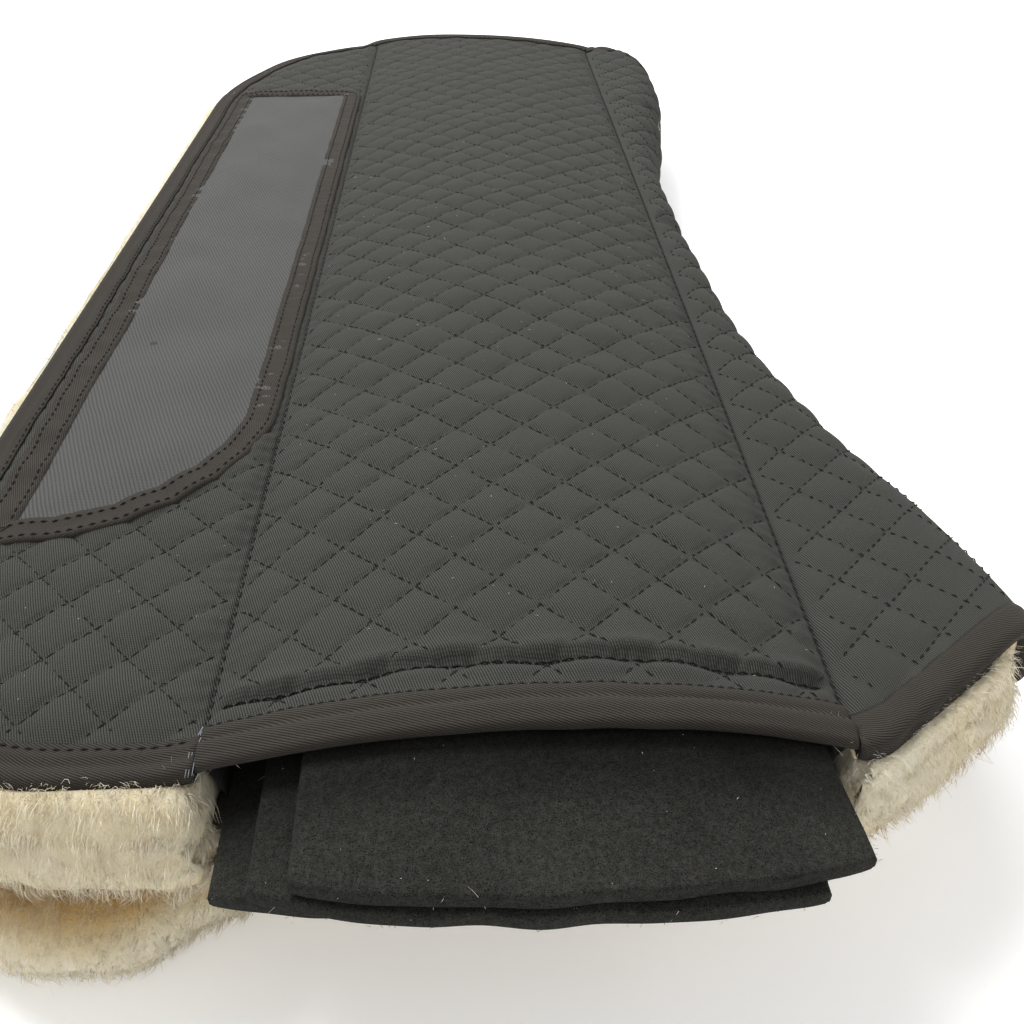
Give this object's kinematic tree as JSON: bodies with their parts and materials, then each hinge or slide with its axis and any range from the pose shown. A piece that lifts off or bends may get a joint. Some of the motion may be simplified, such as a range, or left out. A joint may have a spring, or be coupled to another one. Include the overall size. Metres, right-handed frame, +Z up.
{
  "type": "folding sheepskin saddle pad with shims",
  "caption": "Diamond-quilted saddle pad lined with sheepskin, folded along its spine, with a long arched pocket that holds felt shims.",
  "frame": {"origin": "centre of the underside's bounding box, on the ground that the folded pad lies on", "axes": "+Y runs along the pad away from the pocket mouth, +X from the flap towards the spine fold, +Z up from the lower half to the upper half"},
  "size_m": [0.322, 0.7244, 0.0861],
  "materials": {
    "twill": "matte cotton twill, diamond quilted, charcoal",
    "wadding": "soft white wadding",
    "lining": "plain woven cotton",
    "hide": "suede flesh side of a sheepskin",
    "wool": "dense cream sheep's wool",
    "patch": "ribbed hard-wearing weave, grey",
    "tape": "twill binding tape, dark",
    "thread": "polyester sewing thread",
    "felt": "pressed wool felt, nearly black"
  },
  "bodies": {
    "lower_half": {"lower_quilted_cover": "twill", "lower_quilt_wadding": "wadding", "lower_pocket_lining": "lining", "lower_sheepskin_hide": "hide", "lower_wool_pile": "wool", "lower_wear_patch": "patch", "lower_patch_binding": "tape", "lower_patch_thread": "thread", "lower_edge_binding": "tape", "lower_mouth_binding": "tape", "lower_mouth_hem_thread": "thread", "lower_floor_binding": "tape", "lower_flap_seam_thread": "thread", "lower_spine_seam_thread": "thread"},
    "upper_half": {"upper_quilted_cover": "twill", "upper_quilt_wadding": "wadding", "upper_pocket_lining": "lining", "upper_sheepskin_hide": "hide", "upper_wool_pile": "wool", "upper_wear_patch": "patch", "upper_patch_binding": "tape", "upper_patch_thread": "thread", "upper_edge_binding": "tape", "upper_mouth_binding": "tape", "upper_mouth_hem_thread": "thread", "upper_floor_binding": "tape", "upper_flap_seam_thread": "thread", "upper_spine_seam_thread": "thread"},
    "shim_bottom": {"shim_bottom": "felt"},
    "shim_middle": {"shim_middle": "felt"},
    "shim_top": {"shim_top": "felt"}
  },
  "joints": [
    {"name": "spine_fold", "type": "hinge", "parent": "lower_half", "child": "upper_half", "pos_m": [0.16241, 0.00773, 0.034], "axis": [0, 1, 0], "range_deg": [0, 160]},
    {"name": "shim_bottom_slide", "type": "slide", "parent": "upper_half", "child": "shim_bottom", "axis": [0, -0.9999, 0.0172], "range_m": [-0.045, 0.6]},
    {"name": "shim_middle_slide", "type": "slide", "parent": "upper_half", "child": "shim_middle", "axis": [0, -0.9999, 0.0172], "range_m": [-0.045, 0.6]},
    {"name": "shim_top_slide", "type": "slide", "parent": "upper_half", "child": "shim_top", "axis": [0, -0.9999, 0.0172], "range_m": [-0.045, 0.6]}
  ]
}
